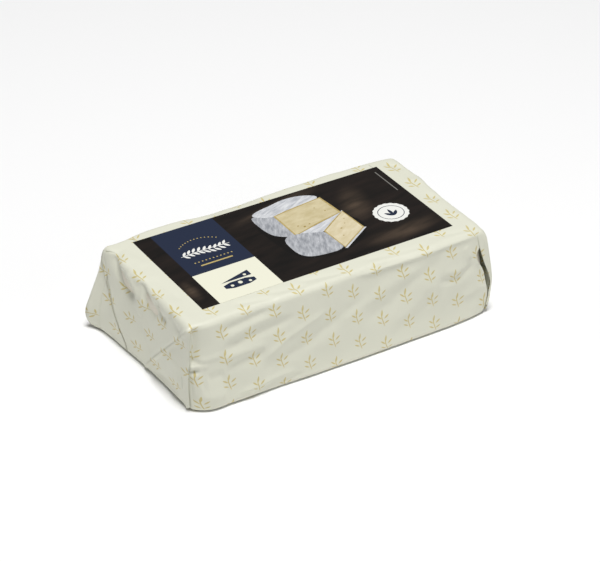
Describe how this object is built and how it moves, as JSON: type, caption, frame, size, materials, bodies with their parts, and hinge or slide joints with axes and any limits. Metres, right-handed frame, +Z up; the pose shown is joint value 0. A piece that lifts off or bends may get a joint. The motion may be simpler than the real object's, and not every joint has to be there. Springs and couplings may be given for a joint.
{
  "type": "wrapped cheese block",
  "caption": "Rectangular block of soft-ripened cheese in a printed paper wrapper with folded ends and a picture label on top.",
  "frame": {"origin": "middle of the underside", "axes": "+X along the block, +Y from the front to the back, +Z up"},
  "size_m": [0.2748, 0.1422, 0.0696],
  "materials": {
    "cheese": "matte",
    "wrap_paper": "satin",
    "label_paper": "satin"
  },
  "bodies": {
    "root": {"cheese_block": "cheese", "wrapper": "wrap_paper", "top_label": "label_paper"}
  },
  "joints": []
}
